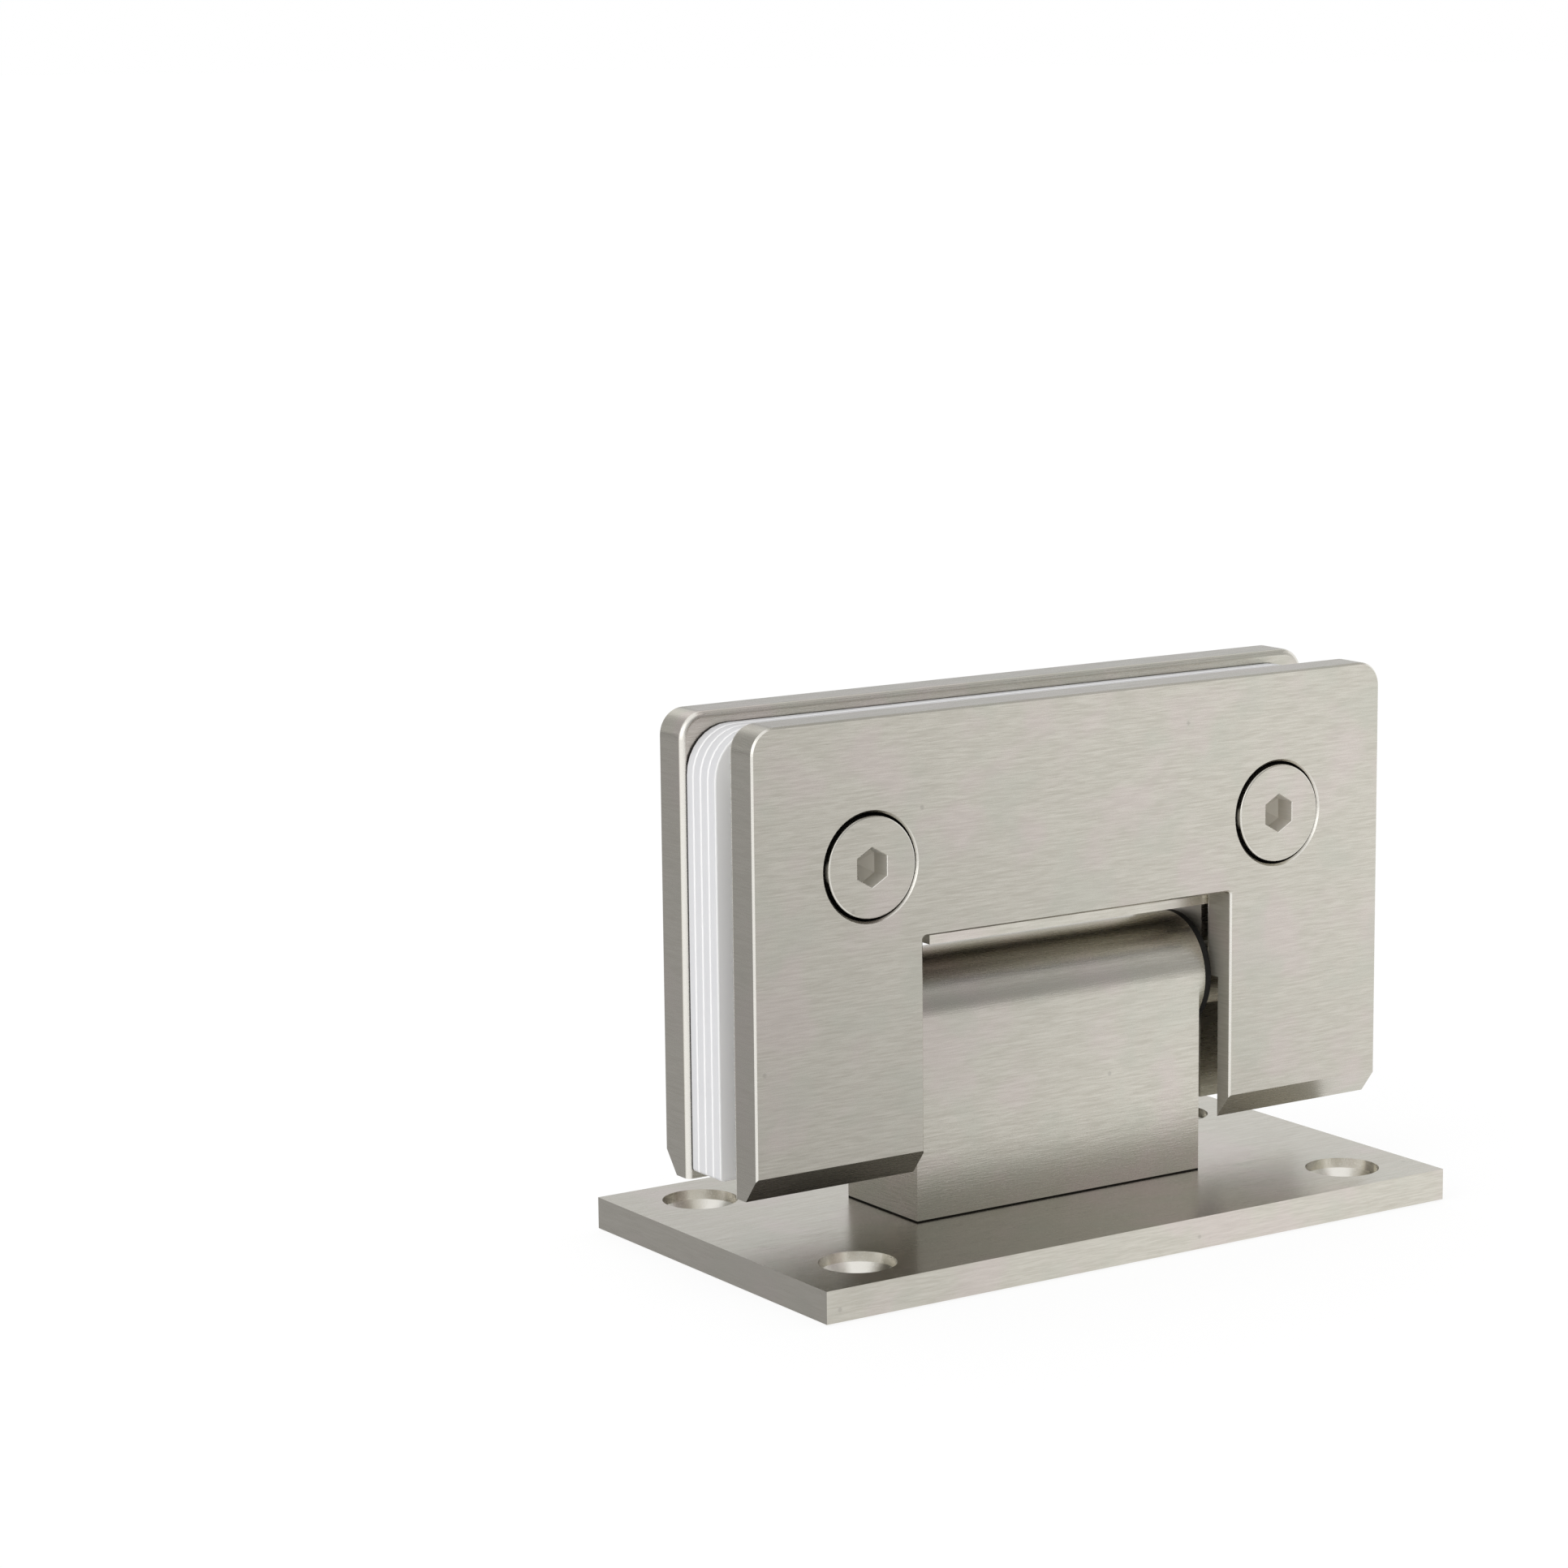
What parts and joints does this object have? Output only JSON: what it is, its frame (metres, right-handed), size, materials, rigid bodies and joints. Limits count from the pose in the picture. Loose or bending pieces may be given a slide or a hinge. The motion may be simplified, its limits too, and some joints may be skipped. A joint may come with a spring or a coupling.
{
  "type": "glass door hinge",
  "caption": "Wall-to-glass door hinge: a flat wall plate with a round-topped pivot block, and two U-shaped clamp plates that grip the glass and swing about the block.",
  "frame": {"origin": "middle of the wall plate's underside", "axes": "+X along the pivot pin to the right, -Y to the front with the clamp screws, +Z away from the wall plate, through the clamp plates"},
  "size_m": [0.0905, 0.0488, 0.0637],
  "materials": {
    "brushed_metal": "fine horizontal brushing, warm nickel tone",
    "hardened_steel": "ground",
    "white_vinyl": "smooth white sheet",
    "black_nylon": "turned",
    "brass": "milled"
  },
  "bodies": {
    "wall_side": {"wall_plate": "brushed_metal", "hinge_block": "brushed_metal", "block_screw_left": "hardened_steel", "block_screw_right": "hardened_steel", "bush_left": "black_nylon", "bush_right": "black_nylon", "spring_seat": "brass", "spring_leaf_1": "hardened_steel", "spring_leaf_2": "hardened_steel", "spring_leaf_3": "hardened_steel"},
    "glass_clamp": {"back_clamp_plate": "brushed_metal", "front_clamp_plate": "brushed_metal", "gasket_1": "white_vinyl", "gasket_2": "white_vinyl", "gasket_3": "white_vinyl", "gasket_4": "white_vinyl", "clamp_screw_left": "brushed_metal", "clamp_screw_right": "brushed_metal", "pivot_pin": "hardened_steel", "thrust_washer": "black_nylon", "pin_screw_left": "hardened_steel", "pin_screw_right": "hardened_steel"}
  },
  "joints": [
    {"name": "door_swing", "type": "hinge", "parent": "wall_side", "child": "glass_clamp", "pos_m": [0, 0, 0.02714], "axis": [1, 0, 0], "range_deg": [-90, 90], "deforming": ["spring_leaf_1", "spring_leaf_2", "spring_leaf_3"]}
  ]
}
